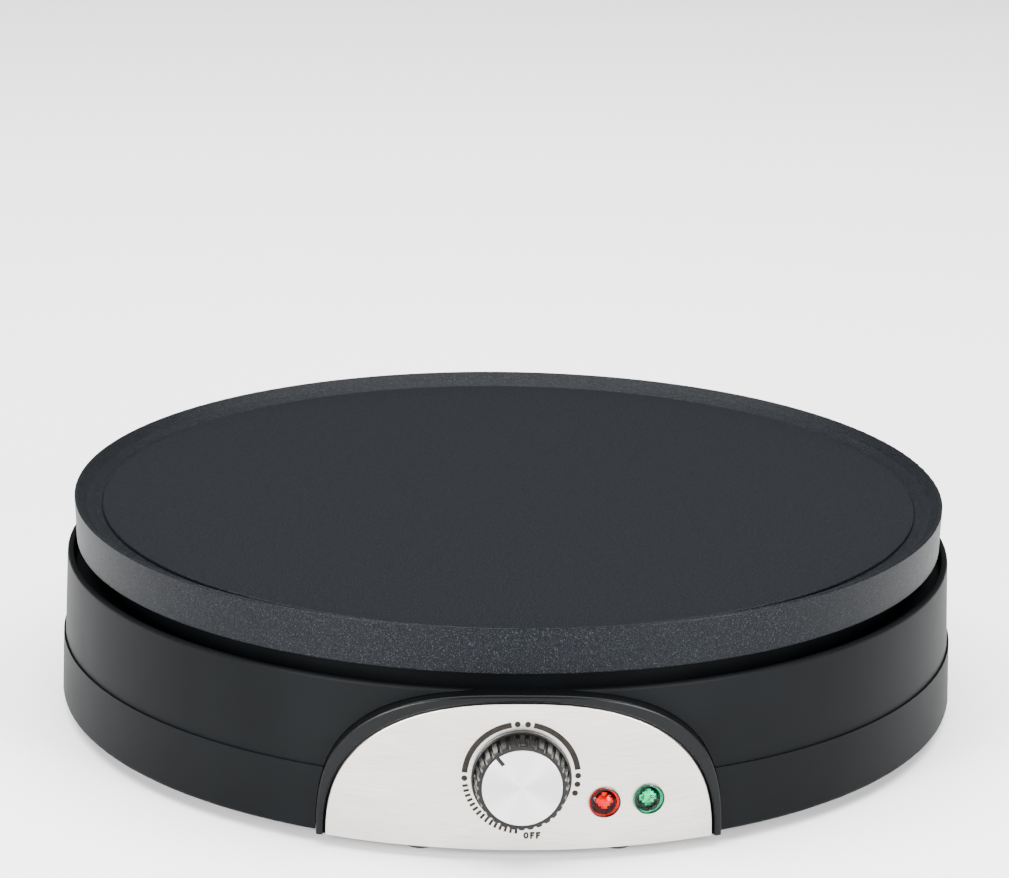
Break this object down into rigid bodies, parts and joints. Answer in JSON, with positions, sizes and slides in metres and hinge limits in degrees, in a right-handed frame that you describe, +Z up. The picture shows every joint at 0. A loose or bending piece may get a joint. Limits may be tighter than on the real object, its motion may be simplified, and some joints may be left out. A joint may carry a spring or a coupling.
{
  "type": "electric griddle",
  "caption": "Round countertop electric griddle: a shallow non-stick hot plate on a low housing with a thermostat knob and indicator lamps on a curved front panel.",
  "frame": {"origin": "on the plate's axis, at the level of the feet's undersides", "axes": "+Z up along the plate's axis, control panel and knob towards -Y, cord inlet towards +Y"},
  "size_m": [0.3106, 0.3269, 0.0745],
  "materials": {
    "nonstick_coating": "fine-grained dark non-stick coating on cast aluminium",
    "element_steel": "heat-tinted sheath",
    "plated_steel": "zinc-plated",
    "ceramic": "unglazed white",
    "copper": "drawn copper",
    "aluminised_sheet": "rolled sheet",
    "housing_black": "satin moulded",
    "foot_rubber": "matt",
    "bezel_black": "satin moulded",
    "brushed_panel": "brushed along its length",
    "thermostat_plastic": "moulded",
    "brass": "turned",
    "knob_black": "semi-gloss",
    "spun_aluminium": "spun",
    "lens_red": "clear tinted",
    "lens_green": "clear tinted",
    "sleeve_silicone": "translucent",
    "neon_glass": "clear",
    "gland_rubber": "matt",
    "terminal_plastic": "moulded",
    "lead_brown": "silicone insulation",
    "lead_blue": "silicone insulation",
    "lead_green": "silicone insulation"
  },
  "bodies": {
    "base": {"block_screws": "plated_steel", "bulb_clip": "plated_steel", "bulb_clip_screws": "plated_steel", "capillary_tube": "copper", "control_panel": "brushed_panel", "cord_gland": "gland_rubber", "earth_lead": "lead_green", "earth_nut": "plated_steel", "earth_screw": "plated_steel", "earth_tag": "brass", "element_clamp_screws": "plated_steel", "element_clamps": "plated_steel", "element_lead": "lead_brown", "element_pins": "plated_steel", "fuse_lead": "lead_blue", "green_lamp_sleeve": "sleeve_silicone", "green_lens": "lens_green", "green_neon": "neon_glass", "griddle_plate": "nonstick_coating", "heat_shield": "aluminised_sheet", "heating_element": "element_steel", "housing_screws": "plated_steel", "lens_retainers": "plated_steel", "live_lead": "lead_brown", "lock_washer": "plated_steel", "lower_housing": "housing_black", "neutral_lead": "lead_blue", "panel_bezel": "bezel_black", "plate_screws": "plated_steel", "plate_spacers": "plated_steel", "red_lamp_sleeve": "sleeve_silicone", "red_lens": "lens_red", "red_neon": "neon_glass", "rubber_feet": "foot_rubber", "sensing_bulb": "copper", "terminal_block": "terminal_plastic", "terminal_bushings": "ceramic", "terminal_screws": "plated_steel", "thermal_fuse": "aluminised_sheet", "thermostat_body": "thermostat_plastic", "thermostat_bush": "brass", "thermostat_nut": "plated_steel", "thermostat_tabs": "brass", "upper_housing": "housing_black"},
    "knob": {"knob": "knob_black", "knob_cap": "spun_aluminium", "knob_spring_clip": "plated_steel", "thermostat_spindle": "plated_steel"}
  },
  "joints": [
    {"name": "knob_turn", "type": "hinge", "parent": "base", "child": "knob", "pos_m": [0, -0.1613, 0.0281], "axis": [0, 1, 0], "range_deg": [-142, 146]}
  ]
}
